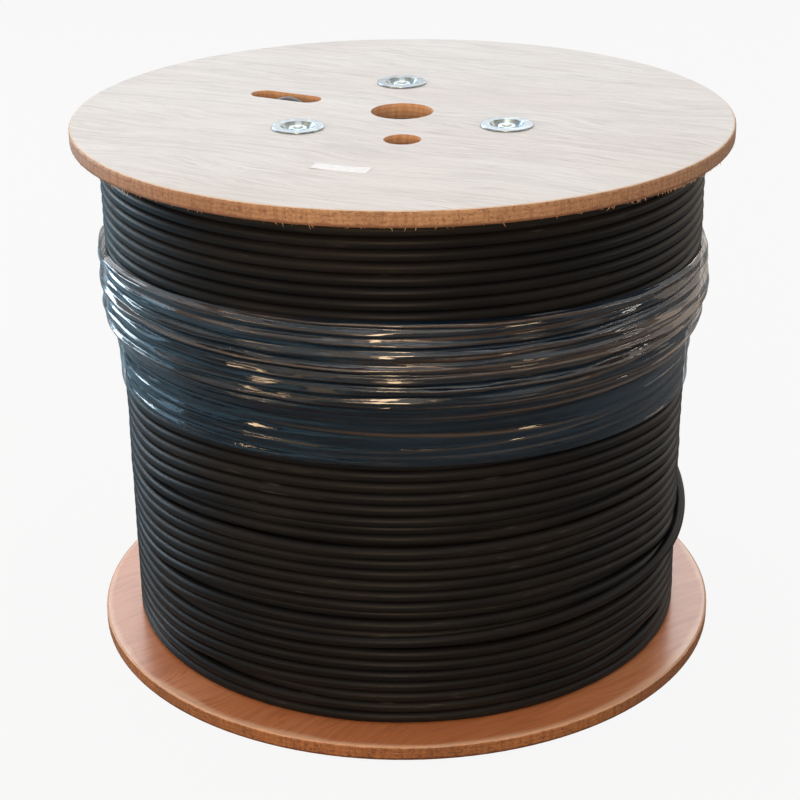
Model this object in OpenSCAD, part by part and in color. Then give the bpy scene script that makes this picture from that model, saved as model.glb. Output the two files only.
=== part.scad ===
// Wooden cable drum: two plywood flanges clamped on a tube barrel by three tie rods,
// wound with one length of round cable and banded with stretch film.
// Millimetres, +Z up. The drum stands on the rims of its lower cup washers at z = 0.

/* [Flanges] */
// Diameter of both flanges
flange_d = 400; // [380:1:460]
// Thickness of the flange plywood
flange_t = 9.5; // [8:0.5:14]
// Clear width between the flanges
traverse = 313; // [240:1:380]
// Rounding of the flange rims
rim_round = 1.6; // [0.5:0.1:3]
// Diameter of the spindle bore
spindle_d = 38; // [25:1:60]
// Diameter of the drive pin hole
drive_d = 22; // [12:1:28]
// Length of the cable slot
slot_l = 48.5; // [44:0.5:56]
// Width of the cable slot
slot_w = 17; // [14:0.5:24]
// Turn of the cable slot away from the radial line
slot_skew = 0; // [-5:1:15]

/* [Barrel] */
// Outer diameter of the barrel
barrel_d = 164; // [140:1:190]
// Wall of the barrel
barrel_wall = 6; // [4:0.5:10]
// Depth of the flange groove that the barrel's end sits in
groove_depth = 2; // [1:0.5:3]

/* [Tie rods] */
// Diameter of a tie rod
rod_d = 6; // [5:0.5:8]
// Width of a nut across its flats
nut_af = 10; // [9.5:0.5:12]
// Height of a nut
nut_h = 5; // [4:0.5:5.5]
// Diameter of a cup washer's rim
washer_d = 31.5; // [28:0.5:36]
// Sheet thickness of a cup washer
washer_t = 1.2; // [0.8:0.1:2]
// Diameter of a cup washer's open mouth
mouth_d = 20.5; // [19:0.5:22]
// Diameter of a cup washer's flat floor
floor_d = 14.5; // [14:0.5:17]

/* [Cable] */
// Diameter of the cable
cable_d = 7; // [5:0.1:9]
// Clear height of the flanges above the full layers
freeboard = 23; // [15:1:60]
// Turns in the part layer under the upper flange
part_turns = 15; // [9:1:24]
// Bend radius of the inner end where it crosses the barrel's edge
tail_bend = 14; // [12:0.5:16]
// Straight length of the inner end inside the barrel
tail_drop = 45; // [10:1:100]

/* [Film] */
// Height of the film above the last turn of the part layer
film_above = 43; // [20:1:50]
// Height of the film below the last turn of the part layer
film_below = 47; // [20:1:70]
// Thickness of the film where it lies flat
film_t = 0.8; // [0.4:0.1:1.5]
// Extra thickness where the film is gathered
film_bunch = 2.8; // [0:0.1:4]

/* [Hidden] */
$fn = 96;

// Clearances
barrel_gap = 0.2;
winding_gap = 0.2;
film_gap = 0.2;
cup_gap = 0.3;
rod_gap = 0.3;
thread_gap = 0.1;
tail_gap = 0.15;

// Length by which a cut passes the face that it opens
cut = 1;

// Rods, holes and slot, spaced around the axis
rod_count = 3;
rod_angle = 90;
drive_angle = 270;
slot_angle = 152;
rod_wall_gap = 2;
drive_wall_gap = 1;

flange_r = flange_d / 2;
barrel_r = barrel_d / 2;
barrel_in_r = barrel_r - barrel_wall;
rod_circle_r = barrel_in_r - rod_wall_gap - rod_d / 2;
drive_r = barrel_in_r - drive_wall_gap - drive_d / 2;

// Heights
lower_out_z = washer_t;
lower_in_z = lower_out_z + flange_t;
upper_in_z = lower_in_z + traverse;
upper_out_z = upper_in_z + flange_t;

// Cup washers: the rod's end stays below the rim, and the nut stands on the floor
rod_sink = 0.2;
rod_proud = 0.8;
cup_depth = nut_h + rod_proud + rod_sink;
mouth_r = mouth_d / 2;
floor_r = floor_d / 2;
washer_r = washer_d / 2;
washer_bore_r = rod_d / 2 + rod_gap;
pocket_r = mouth_r + washer_t + cup_gap;
rod_chamfer = 0.6;

// Nuts: corners cut back by a cone at both ends
nut_corner_r = nut_af / 2 / cos(30);
nut_cut_r = nut_corner_r + 0.2;
nut_cut_h = (nut_cut_r - nut_af / 2) * tan(30);

// Turns: neighbours press into each other a little, as their pitch is under the diameter
turn_lay = 0.985;
layer_lay = 0.965;
bore_press = 0.02;
layer_pitch = cable_d * layer_lay;
first_turn_z = lower_in_z + winding_gap + cable_d / 2;
last_turn_z = upper_in_z - winding_gap - cable_d / 2;
turn_count = floor((last_turn_z - first_turn_z) / (cable_d * turn_lay)) + 1;
turn_pitch = (last_turn_z - first_turn_z) / (turn_count - 1);
winding_in_r = barrel_r + winding_gap;
first_layer_r = winding_in_r + cable_d / 2 - cable_d * bore_press;
full_layers = floor((flange_r - freeboard - cable_d / 2 - first_layer_r) / layer_pitch) + 1;
full_turn_r = first_layer_r + (full_layers - 1) * layer_pitch;
part_turn_r = full_turn_r + layer_pitch;
part_last_z = last_turn_z - (part_turns - 1) * turn_pitch;

// Film: it lies on the crests and bridges the step below the part layer
film_bridge = 10;
film_bunch_share = 0.6;
full_film_r = full_turn_r + cable_d / 2 + film_gap;
part_film_r = part_turn_r + cable_d / 2 + film_gap;
step_z = part_last_z - cable_d / 2;
film_turn_z = part_last_z - cable_d / 4;
film_top_z = step_z + film_above;
film_low_z = step_z - film_below;
film_land_z = step_z - film_bridge;

// Inner end of the cable: it lies along the slot, a little to the slot's front side
tail_side_gap = 3.5;
tail_side = slot_w / 2 - cable_d / 2 - tail_side_gap;
tail_top_u = barrel_wall / 2;
tail_in_r = tail_bend - cable_d / 2;
tail_sag = tail_in_r - sqrt(pow(tail_in_r, 2) - pow(barrel_wall / 2 + cut, 2));
tail_axis_z = upper_in_z + groove_depth + tail_gap + tail_sag - tail_in_r;
tail_sweep = 165;

// Height of a turn's centre, counted from the lower flange
function turn_z(turn) = first_turn_z + turn * turn_pitch;

// Radius of a layer's centres, counted from the barrel
function layer_r(layer) = first_layer_r + layer * layer_pitch;

// Moves a piece to one rod's place
module at_rod(i) {
    rotate([0, 0, rod_angle + i * 360 / rod_count])
        translate([rod_circle_r, 0, 0])
            children();
}

// Puts a piece drawn with +Z outwards on the upper flange's outer face
module on_upper_face() {
    translate([0, 0, upper_out_z])
        children();
}

// Puts a piece drawn with +Z outwards on the lower flange's outer face
module on_lower_face() {
    translate([0, 0, lower_out_z])
        mirror([0, 0, 1])
            children();
}

// Puts a piece drawn along the slot, with +X towards the axis, at the slot's middle
module at_slot() {
    rotate([0, 0, slot_angle])
        translate([barrel_r, 0, 0])
            rotate([0, 0, 180 + slot_skew])
                children();
}

// Half section of a flange disc with a rounded rim
module flange_section() {
    square([flange_r - rim_round, flange_t]);
    translate([0, rim_round])
        square([flange_r, flange_t - 2 * rim_round]);
    for (z = [rim_round, flange_t - rim_round])
        translate([flange_r - rim_round, z])
            circle(r = rim_round);
}

// Stepped hole for a cup washer and its rod, from the outer face inwards
module rod_hole() {
    translate([0, 0, -cut])
        cylinder(h = flange_t + 2 * cut, r = washer_bore_r);
    translate([0, 0, flange_t - cup_depth - cup_gap])
        cylinder(h = cup_depth + cup_gap + cut, r = pocket_r);
}

// Ring groove in the inner face for the barrel's end
module barrel_groove() {
    rotate_extrude()
        translate([barrel_in_r - barrel_gap, -cut])
            square([barrel_wall + 2 * barrel_gap, groove_depth + cut]);
}

// Slot with round ends for the cable's inner end
module slot_hole() {
    slot_run = slot_l - slot_w;
    translate([0, 0, -cut])
        at_slot() {
            translate([-slot_run / 2, -slot_w / 2, 0])
                cube([slot_run, slot_w, flange_t + 2 * cut]);
            for (end = [-1, 1])
                translate([end * slot_run / 2, 0, 0])
                    cylinder(h = flange_t + 2 * cut, d = slot_w);
        }
}

// One flange with its inner face at z = 0 and its outer face up
module flange(slotted) {
    difference() {
        rotate_extrude()
            flange_section();
        translate([0, 0, -cut])
            cylinder(h = flange_t + 2 * cut, d = spindle_d);
        rotate([0, 0, drive_angle])
            translate([drive_r, 0, -cut])
                cylinder(h = flange_t + 2 * cut, d = drive_d);
        for (i = [0:rod_count - 1])
            at_rod(i)
                rod_hole();
        barrel_groove();
        if (slotted)
            slot_hole();
    }
}

module top_flange() {
    color("BurlyWood")
        translate([0, 0, upper_in_z])
            flange(true);
}

module bottom_flange() {
    color("BurlyWood")
        translate([0, 0, lower_in_z])
            mirror([0, 0, 1])
                flange(false);
}

// Tube clamped between the groove floors
module barrel() {
    color("Tan")
        translate([0, 0, lower_in_z - groove_depth])
            rotate_extrude()
                translate([barrel_in_r, 0])
                    square([barrel_wall, traverse + 2 * groove_depth]);
}

// Half section of the wound cable: round turns outside, round layers at both ends
module winding_section() {
    difference() {
        union() {
            translate([winding_in_r - cut, first_turn_z])
                square([full_turn_r - winding_in_r + cut, last_turn_z - first_turn_z]);
            translate([full_turn_r, part_last_z])
                square([layer_pitch, last_turn_z - part_last_z]);
            for (layer = [0:full_layers - 1])
                for (z = [first_turn_z, last_turn_z])
                    translate([layer_r(layer), z])
                        circle(d = cable_d);
            for (turn = [1:turn_count - part_turns])
                translate([full_turn_r, turn_z(turn)])
                    circle(d = cable_d);
            for (turn = [turn_count - part_turns:turn_count - 1])
                translate([part_turn_r, turn_z(turn)])
                    circle(d = cable_d);
        }
        translate([0, lower_in_z])
            square([winding_in_r, traverse]);
    }
}

module cable_winding() {
    color("DimGray")
        rotate_extrude()
            winding_section();
}

// Inner end: from the winding's upper end over the barrel's edge and down inside the barrel
module cable_tail() {
    color("DimGray")
        difference() {
            translate([0, 0, tail_axis_z])
                at_slot()
                    translate([tail_top_u, -tail_side, 0]) {
                        rotate([90, 0, 0])
                            rotate_extrude(angle = tail_sweep)
                                translate([tail_bend, 0])
                                    circle(d = cable_d);
                        translate([tail_bend, 0, -tail_drop])
                            cylinder(h = tail_drop, d = cable_d);
                    }
            translate([0, 0, upper_in_z - traverse])
                difference() {
                    cylinder(h = traverse, r = flange_r);
                    translate([0, 0, -cut])
                        cylinder(h = traverse + 2 * cut, r = barrel_in_r);
                }
        }
}

module film_wrap() {
    color("LightBlue", 0.4)
        rotate_extrude()
            polygon([
                [part_film_r, film_top_z],
                [part_film_r, film_turn_z],
                [full_film_r, film_land_z],
                [full_film_r, film_low_z],
                [full_film_r + film_t, film_low_z],
                [full_film_r + film_t, film_land_z],
                [part_film_r + film_t + film_bunch * film_bunch_share, film_turn_z],
                [part_film_r + film_t + film_bunch, (film_top_z + film_turn_z) / 2],
                [part_film_r + film_t, film_top_z]
            ]);
}

module tie_rod(i) {
    reach = washer_t - rod_sink;
    low_z = lower_out_z - reach;
    high_z = upper_out_z + reach;
    color("Silver")
        at_rod(i)
            rotate_extrude()
                polygon([
                    [0, low_z],
                    [rod_d / 2 - rod_chamfer, low_z],
                    [rod_d / 2, low_z + rod_chamfer],
                    [rod_d / 2, high_z - rod_chamfer],
                    [rod_d / 2 - rod_chamfer, high_z],
                    [0, high_z]
                ]);
}

// Pressed cup washer: flat rim on the flange's face, cone and floor sunk in the pocket
module cup_washer() {
    color("LightSteelBlue")
        rotate_extrude() {
            polygon([
                [washer_bore_r, -cup_depth],
                [floor_r + washer_t, -cup_depth],
                [mouth_r + washer_t, 0],
                [washer_r - washer_t / 2, 0],
                [washer_r - washer_t / 2, washer_t],
                [mouth_r, washer_t],
                [floor_r, washer_t - cup_depth],
                [washer_bore_r, washer_t - cup_depth]
            ]);
            translate([washer_r - washer_t / 2, washer_t / 2])
                circle(d = washer_t);
        }
}

// Hexagon nut standing on the washer's floor
module hex_nut() {
    color("Silver")
        translate([0, 0, washer_t - cup_depth])
            difference() {
                intersection() {
                    cylinder(h = nut_h, r = nut_corner_r, $fn = 6);
                    rotate_extrude()
                        polygon([
                            [0, 0],
                            [nut_af / 2, 0],
                            [nut_cut_r, nut_cut_h],
                            [nut_cut_r, nut_h - nut_cut_h],
                            [nut_af / 2, nut_h],
                            [0, nut_h]
                        ]);
                }
                translate([0, 0, -cut])
                    cylinder(h = nut_h + 2 * cut, r = rod_d / 2 + thread_gap);
            }
}

top_flange();
bottom_flange();
barrel();
cable_winding();
cable_tail();
film_wrap();
for (i = [0:rod_count - 1]) {
    tie_rod(i);
    at_rod(i) on_upper_face() cup_washer();
    at_rod(i) on_lower_face() cup_washer();
    at_rod(i) on_upper_face() hex_nut();
    at_rod(i) on_lower_face() hex_nut();
}
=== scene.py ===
"""A plywood cable drum standing on end, wound with black cable under a band of clear film.

The drum's solids are loaded as a fixed frame. The barrel, rods, nuts, washers and the cable's inner end
keep their solids and get finishes here. The flanges, the wound cable and the film are made here from the
same sizes.
"""

import math
import random

import bmesh
import bpy
import numpy as np
from mathutils import Matrix, Vector


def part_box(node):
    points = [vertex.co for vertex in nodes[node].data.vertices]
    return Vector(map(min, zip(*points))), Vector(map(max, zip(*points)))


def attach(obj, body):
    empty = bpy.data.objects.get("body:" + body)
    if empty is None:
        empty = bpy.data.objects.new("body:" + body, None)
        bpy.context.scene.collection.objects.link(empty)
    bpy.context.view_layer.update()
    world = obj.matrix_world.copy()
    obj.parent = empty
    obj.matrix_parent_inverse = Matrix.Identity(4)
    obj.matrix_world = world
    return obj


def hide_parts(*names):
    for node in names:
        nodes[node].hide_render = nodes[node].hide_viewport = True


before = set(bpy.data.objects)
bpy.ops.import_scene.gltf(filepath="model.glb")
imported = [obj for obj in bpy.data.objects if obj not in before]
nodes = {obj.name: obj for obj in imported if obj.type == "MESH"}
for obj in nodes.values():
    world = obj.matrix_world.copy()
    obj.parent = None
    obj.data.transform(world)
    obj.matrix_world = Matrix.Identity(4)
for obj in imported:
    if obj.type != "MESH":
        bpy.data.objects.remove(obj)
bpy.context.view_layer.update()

MM = 0.001

# Sizes read from the drum's solids, in metres
LOWER_OUT_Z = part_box("bottom_flange")[0][2]
LOWER_IN_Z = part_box("bottom_flange")[1][2]
UPPER_IN_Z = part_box("top_flange")[0][2]
UPPER_OUT_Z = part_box("top_flange")[1][2]
FLANGE_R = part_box("top_flange")[1][0]
FLANGE_T = UPPER_OUT_Z - UPPER_IN_Z
RIM_ROUND = 1.6 * MM
RIM_R = FLANGE_R - 0.02 * MM
BARREL_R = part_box("barrel")[1][0]

# Lay of the cable, as the solids have it
CABLE_D = 7.0 * MM
CABLE_R = CABLE_D / 2
TURN_PITCH = 6.945 * MM
LAYER_PITCH = 6.755 * MM
FULL_LAYER_R = 173.375 * MM
PART_LAYER_R = FULL_LAYER_R + LAYER_PITCH
UNDER_LAYER_R = FULL_LAYER_R - LAYER_PITCH
FIRST_TURN_Z = LOWER_IN_Z + 3.7 * MM
LAST_TURN_Z = UPPER_IN_Z - 3.7 * MM
PART_TURNS = 15
PART_LOW_Z = LAST_TURN_Z - (PART_TURNS - 1) * TURN_PITCH
FULL_TURNS = 29

# Plywood: sheets in its thickness, and the grain of its faces, turned from the X axis
PLY_COUNT = 7.0
OUTER_GRAIN_TURN = math.radians(-24)
INNER_GRAIN_TURN = math.radians(38)


def feed(tree, socket, value):
    """Links a socket to another, or sets its value."""
    if isinstance(value, bpy.types.NodeSocket):
        tree.links.new(value, socket)
    else:
        socket.default_value = value


def put(tree, kind, values=None, **settings):
    """Adds one node with its settings, and its inputs by name or number."""
    made = tree.nodes.new(kind)
    for name, value in settings.items():
        setattr(made, name, value)
    for name, value in (values or {}).items():
        feed(tree, made.inputs[name], value)
    return made


def calc(tree, operation, *values):
    """One step of arithmetic on numbers."""
    made = put(tree, "ShaderNodeMath", operation=operation)
    for socket, value in zip(made.inputs, values):
        feed(tree, socket, value)
    return made.outputs[0]


def vector_calc(tree, operation, *values):
    """One step of arithmetic on vectors."""
    made = put(tree, "ShaderNodeVectorMath", operation=operation)
    for socket, value in zip(made.inputs, values):
        feed(tree, socket, value)
    return made.outputs[0]


def times(tree, first, second):
    """Product of two numbers."""
    return calc(tree, "MULTIPLY", first, second)


def plus(tree, first, second):
    """Sum of two numbers."""
    return calc(tree, "ADD", first, second)


def minus(tree, first, second):
    """Difference of two numbers."""
    return calc(tree, "SUBTRACT", first, second)


def point(tree, x, y, z):
    """A vector from its three parts."""
    return put(tree, "ShaderNodeCombineXYZ", {"X": x, "Y": y, "Z": z}).outputs[0]


def parts_of(tree, vector):
    """The three parts of a vector."""
    return put(tree, "ShaderNodeSeparateXYZ", {0: vector}).outputs


def round_axis(tree, reach, angle, height):
    """The point at a reach, an angle and a height round the drum's axis."""
    across = times(tree, reach, calc(tree, "COSINE", angle))
    along = times(tree, reach, calc(tree, "SINE", angle))
    return point(tree, across, along, height)


def ramp(tree, value, low, high, out_low=0.0, out_high=1.0):
    """Carries a value smoothly from one range to another, held at both ends."""
    sockets = {0: value, 1: low, 2: high, 3: out_low, 4: out_high}
    return put(tree, "ShaderNodeMapRange", sockets, interpolation_type="SMOOTHSTEP").outputs[0]


def tint(tree, share, first, second):
    """Mixes two colours by a share."""
    return put(tree, "ShaderNodeMix", {0: share, 6: first, 7: second}, data_type="RGBA").outputs[2]


def overlay(tree, colour, shares):
    """Lays more colours over a first one, each by its share."""
    for share, shade in shares:
        colour = tint(tree, share, colour, shade)
    return colour


def speckle(tree, place, stretch, detail=2.0, rough=0.5):
    """Noise between 0 and 1, with so many waves a metre along each axis."""
    spread = vector_calc(tree, "MULTIPLY", place, stretch)
    sockets = {"Vector": spread, "Scale": 1.0, "Detail": detail, "Roughness": rough}
    return put(tree, "ShaderNodeTexNoise", sockets).outputs[0]


def object_place(tree):
    """The point on the piece, in the drum's own frame."""
    return put(tree, "ShaderNodeTexCoord").outputs["Object"]


def new_group(name, kind, inputs, outputs):
    """A node group with its sockets. Inputs are (name, socket kind, start value)."""
    tree = bpy.data.node_groups.new(name, kind)
    for label, socket_kind, start in inputs:
        socket = tree.interface.new_socket(label, in_out="INPUT", socket_type=socket_kind)
        if start is not None:
            socket.default_value = start
    for label, socket_kind in outputs:
        tree.interface.new_socket(label, in_out="OUTPUT", socket_type=socket_kind)
    source = tree.nodes.new("NodeGroupInput")
    sink = tree.nodes.new("NodeGroupOutput")
    return tree, source, sink


def give(tree, sink, values):
    """Feeds a node group's outputs by name."""
    for name, value in values.items():
        feed(tree, sink.inputs[name], value)


def use_group(tree, group, values=None):
    """One use of a node group in a tree."""
    kind = "GeometryNodeGroup" if tree.bl_idname == "GeometryNodeTree" else "ShaderNodeGroup"
    made = tree.nodes.new(kind)
    made.node_tree = group
    for name, value in (values or {}).items():
        feed(tree, made.inputs[name], value)
    return made


NUMBER = "NodeSocketFloat"
VECTOR = "NodeSocketVector"
WHOLE = "NodeSocketInt"
SHAPE = "NodeSocketGeometry"
FINISH = "NodeSocketMaterial"


# Wood: shared groups

def make_veneer_grain():
    """Grain of a peeled veneer: fine fibre, wavy figure, short pores, broad patches and long dark lines."""
    tree, source, sink = new_group(
        "veneer_grain",
        "ShaderNodeTree",
        [("Turn", NUMBER, 0.0), ("Shift", NUMBER, 0.0)],
        [(name, NUMBER) for name in ("Fibre", "Figure", "Dashes", "Pores", "Patch", "Lines")],
    )
    turned = put(
        tree,
        "ShaderNodeVectorRotate",
        {"Vector": object_place(tree), "Angle": times(tree, source.outputs["Turn"], -1.0)},
        rotation_type="Z_AXIS",
    ).outputs[0]
    along = vector_calc(tree, "ADD", turned, point(tree, 0.0, 0.0, source.outputs["Shift"]))
    sway = minus(tree, speckle(tree, along, (7.5, 14.0, 1.0)), 0.5)
    grain = vector_calc(tree, "ADD", along, point(tree, 0.0, times(tree, sway, 0.050), 0.0))
    dash = speckle(tree, grain, (46.0, 800.0, 1.0), 3.0, 0.65)
    dash_zone = speckle(tree, along, (9.0, 46.0, 1.0))
    pore = speckle(tree, grain, (130.0, 2300.0, 1.0), 1.0)
    line = speckle(tree, grain, (5.0, 420.0, 1.0), 1.0)
    results = {
        "Fibre": speckle(tree, grain, (22.0, 1500.0, 1.0), 3.0, 0.65),
        "Figure": speckle(tree, grain, (19.0, 230.0, 1.0), 5.0, 0.65),
        "Dashes": times(tree, ramp(tree, dash, 0.50, 0.68), ramp(tree, dash_zone, 0.40, 0.62)),
        "Pores": ramp(tree, pore, 0.66, 0.76),
        "Patch": speckle(tree, along, (7.0, 18.0, 1.0), 3.0),
        "Lines": ramp(tree, line, 0.70, 0.78),
    }
    give(tree, sink, results)
    return tree


def make_sawn_edge():
    """Sawn plywood edge: plies, upright saw marks, torn flecks, a worn top arris with painted highlight,
    painted shade at its foot.
    """
    tree, source, sink = new_group(
        "sawn_plywood_edge",
        "ShaderNodeTree",
        [("Low Face", NUMBER, 0.0), ("Thickness", NUMBER, 0.0095), ("Top Arris", NUMBER, 0.05)],
        [(name, NUMBER) for name in ("Ply", "Saw", "Flecks", "Arris", "Foot Shade", "Tone")],
    )
    place = object_place(tree)
    arris = source.outputs["Top Arris"]
    rise = minus(tree, parts_of(tree, place)["Z"], source.outputs["Low Face"])
    depth = calc(tree, "DIVIDE", rise, source.outputs["Thickness"])
    waver = minus(tree, speckle(tree, place, (40.0, 40.0, 40.0)), 0.5)
    shaken = plus(tree, depth, times(tree, waver, 0.05))
    sheet = calc(tree, "PINGPONG", times(tree, shaken, PLY_COUNT), 1.0)
    pit = speckle(tree, place, (520.0, 520.0, 760.0))
    dash = speckle(tree, place, (170.0, 170.0, 900.0))
    dash_zone = speckle(tree, place, (16.0, 16.0, 260.0))
    dashes = times(tree, ramp(tree, dash, 0.53, 0.62), ramp(tree, dash_zone, 0.52, 0.62))
    ragged = minus(tree, speckle(tree, place, (150.0, 150.0, 60.0), 3.0, 0.6), 0.5)
    below_top = plus(tree, minus(tree, 1.0, shaken), times(tree, times(tree, ragged, arris), 1.4))
    above_foot = plus(tree, shaken, times(tree, ragged, 0.35))
    results = {
        "Ply": ramp(tree, sheet, 0.3, 0.7),
        "Saw": speckle(tree, place, (420.0, 420.0, 70.0), 4.0, 0.75),
        "Flecks": calc(tree, "MAXIMUM", dashes, ramp(tree, pit, 0.55, 0.66)),
        # Pale top arris: partly wear, partly a painted highlight where the rounded arris catches the light.
        "Arris": ramp(tree, below_top, arris, times(tree, arris, 1.5), 1.0, 0.0),
        # Painted shade along the foot of the edge, where the lower rounding lies in shade.
        "Foot Shade": ramp(tree, above_foot, 0.12, 0.28, 1.0, 0.0),
        "Tone": speckle(tree, place, (9.0, 9.0, 3.0), 3.0),
    }
    give(tree, sink, results)
    return tree


VENEER_GRAIN = make_veneer_grain()
SAWN_EDGE = make_sawn_edge()


def new_finish(name, roughness=0.5, specular=0.5):
    """A material with its shader, ready for its nodes."""
    made = bpy.data.materials.new(name)
    made.use_nodes = True
    tree = made.node_tree
    shader = tree.nodes["Principled BSDF"]
    shader.inputs["Roughness"].default_value = roughness
    shader.inputs["Specular IOR Level"].default_value = specular
    return made, tree, shader


def relief(tree, shader, height, strength, distance):
    """Gives a shader a bump from a height."""
    bump = put(tree, "ShaderNodeBump", {"Height": height, "Strength": strength, "Distance": distance})
    feed(tree, shader.inputs["Normal"], bump.outputs[0])


def veneer_finish(name, turn, shift, pale, streak, pink, pore, roughness, coat, worn=None):
    """A flange face: veneer with its grain, patches, pores and dark lines, and paler along the rim: wear and
    a painted highlight.
    """
    made, tree, shader = new_finish(name, roughness, 0.4)
    grain = use_group(tree, VENEER_GRAIN, {"Turn": turn, "Shift": shift}).outputs
    shares = [
        (ramp(tree, grain["Patch"], 0.42, 0.68, 0.0, 0.75), pink),
        (ramp(tree, grain["Figure"], 0.42, 0.66, 0.0, 0.45), streak),
        (ramp(tree, grain["Fibre"], 0.36, 0.66, 0.0, 0.30), streak),
        (times(tree, grain["Dashes"], 0.90), streak),
        (times(tree, grain["Pores"], 0.50), pore),
        (times(tree, grain["Lines"], 0.30), pore),
    ]
    # Pale band along the rim: partly wear, partly a painted highlight where the rounded arris catches the
    # light.
    if worn:
        flat = vector_calc(tree, "MULTIPLY", object_place(tree), (1.0, 1.0, 0.0))
        reach = put(tree, "ShaderNodeVectorMath", {0: flat}, operation="LENGTH").outputs["Value"]
        ragged = times(tree, minus(tree, grain["Patch"], 0.5), 12 * MM)
        band = (FLANGE_R - 5.5 * MM, FLANGE_R - 1.2 * MM)
        shares.append((ramp(tree, plus(tree, reach, ragged), *band, 0.0, 0.5), worn))
    feed(tree, shader.inputs["Base Color"], overlay(tree, pale, shares))
    dull = ramp(tree, grain["Fibre"], 0.3, 0.7, roughness - 0.07, roughness + 0.08)
    feed(tree, shader.inputs["Roughness"], dull)
    shader.inputs["Coat Weight"].default_value = coat
    shader.inputs["Coat Roughness"].default_value = 0.24
    height = minus(tree, plus(tree, grain["Fibre"], grain["Figure"]), grain["Pores"])
    relief(tree, shader, height, 0.35, 0.16 * MM)
    return made


def edge_finish(name, low_face, top_arris, worn, light, dark, fleck, arris):
    """The sawn rim of a flange. The top arris is a share of the thickness, worn pale and given a painted
    highlight by a further share.
    """
    made, tree, shader = new_finish(name, 0.6, 0.6)
    sizes = {"Low Face": low_face, "Thickness": FLANGE_T, "Top Arris": top_arris}
    edge = use_group(tree, SAWN_EDGE, sizes).outputs
    shares = [
        (times(tree, edge["Ply"], 0.40), dark),
        (ramp(tree, edge["Saw"], 0.42, 0.62, 0.0, 0.75), dark),
        (ramp(tree, edge["Tone"], 0.35, 0.7, 0.0, 0.35), fleck),
        (times(tree, edge["Flecks"], 0.70), fleck),
        # Painted shade along the foot, in the fleck colour.
        (times(tree, edge["Foot Shade"], 0.75), fleck),
        # Pale top arris: partly wear, partly a painted highlight.
        (times(tree, edge["Arris"], worn), arris),
    ]
    feed(tree, shader.inputs["Base Color"], overlay(tree, light, shares))
    feed(tree, shader.inputs["Roughness"], ramp(tree, edge["Saw"], 0.3, 0.7, 0.5, 0.72))
    height = minus(tree, edge["Saw"], times(tree, edge["Flecks"], 0.8))
    relief(tree, shader, height, 0.5, 0.3 * MM)
    return made


# The outer faces' pale colour is partly a paler face veneer and partly painted light: the brightness and
# sheen of the strongly lit top.
OUTER_VENEER_AND_PAINTED_LIGHT = veneer_finish(
    "outer_veneer_and_painted_light", OUTER_GRAIN_TURN, 0.0,
    (0.735, 0.725, 0.720, 1), (0.515, 0.500, 0.495, 1), (0.700, 0.660, 0.645, 1), (0.330, 0.290, 0.265, 1),
    0.60, 0.0,
)
# The last colour is the pale band along the rim: partly wear, partly a painted highlight.
INNER_VENEER = veneer_finish(
    "inner_veneer", INNER_GRAIN_TURN, 3.0,
    (0.525, 0.196, 0.080, 1), (0.340, 0.106, 0.039, 1), (0.575, 0.250, 0.124, 1), (0.145, 0.044, 0.018, 1),
    0.42, 0.8, (0.800, 0.560, 0.410, 1),
)
# Edge colours: light, dark, fleck, arris. The fleck colour also paints shade at the foot; the arris colour is
# wear and a painted highlight.
UPPER_EDGE = edge_finish(
    "upper_edge", UPPER_IN_Z, 0.035, 0.7,
    (0.440, 0.252, 0.134, 1), (0.275, 0.143, 0.073, 1), (0.175, 0.070, 0.030, 1), (0.800, 0.640, 0.480, 1),
)
LOWER_EDGE = edge_finish(
    "lower_edge", LOWER_OUT_Z, 0.08, 0.45,
    (0.395, 0.160, 0.056, 1), (0.230, 0.082, 0.027, 1), (0.090, 0.030, 0.012, 1), (0.800, 0.540, 0.380, 1),
)


def bored_finish():
    """Walls of the bores, slot and pockets, cut across the plies."""
    made, tree, shader = new_finish("bored_plywood", 0.7, 0.3)
    edge = use_group(tree, SAWN_EDGE, {"Low Face": UPPER_IN_Z, "Thickness": FLANGE_T}).outputs
    shares = [
        (times(tree, edge["Ply"], 0.6), (0.59, 0.325, 0.175, 1)),
        (ramp(tree, edge["Saw"], 0.3, 0.7, 0.0, 0.6), (0.42, 0.186, 0.083, 1)),
    ]
    feed(tree, shader.inputs["Base Color"], overlay(tree, (0.73, 0.46, 0.28, 1), shares))
    relief(tree, shader, edge["Saw"], 0.6, 0.4 * MM)
    return made


BORED_PLY = bored_finish()


def dress_flange(mesh, outer_up, edge):
    """Shares a flange's faces out between its veneers, its rim and its bores."""
    level = 0.985
    rim_depth = 4 * MM
    mesh.materials.clear()
    for finish in (OUTER_VENEER_AND_PAINTED_LIGHT, INNER_VENEER, edge, BORED_PLY):
        mesh.materials.append(finish)
    for face in mesh.polygons:
        upright = face.normal.z
        reach = math.hypot(face.center.x, face.center.y)
        if abs(upright) > level:
            face.material_index = 0 if (upright > 0) == outer_up else 1
        elif reach > FLANGE_R - rim_depth:
            face.material_index = 2
        else:
            face.material_index = 3


def rim_profile(low, high):
    """The rim's section from the upper face's edge round to the lower face's edge: reach and height."""
    steps = 8
    bends = [math.radians(90 * step / steps) for step in range(1, steps + 1)]
    upper = [
        (RIM_R - RIM_ROUND * (1 - math.sin(bend)), high - RIM_ROUND * (1 - math.cos(bend))) for bend in bends
    ]
    lower = [(reach, low + high - height) for reach, height in reversed(upper)]
    return upper + lower


def bearing(corner):
    """A corner's angle round the drum's axis."""
    return math.atan2(corner.co.y, corner.co.x)


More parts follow.
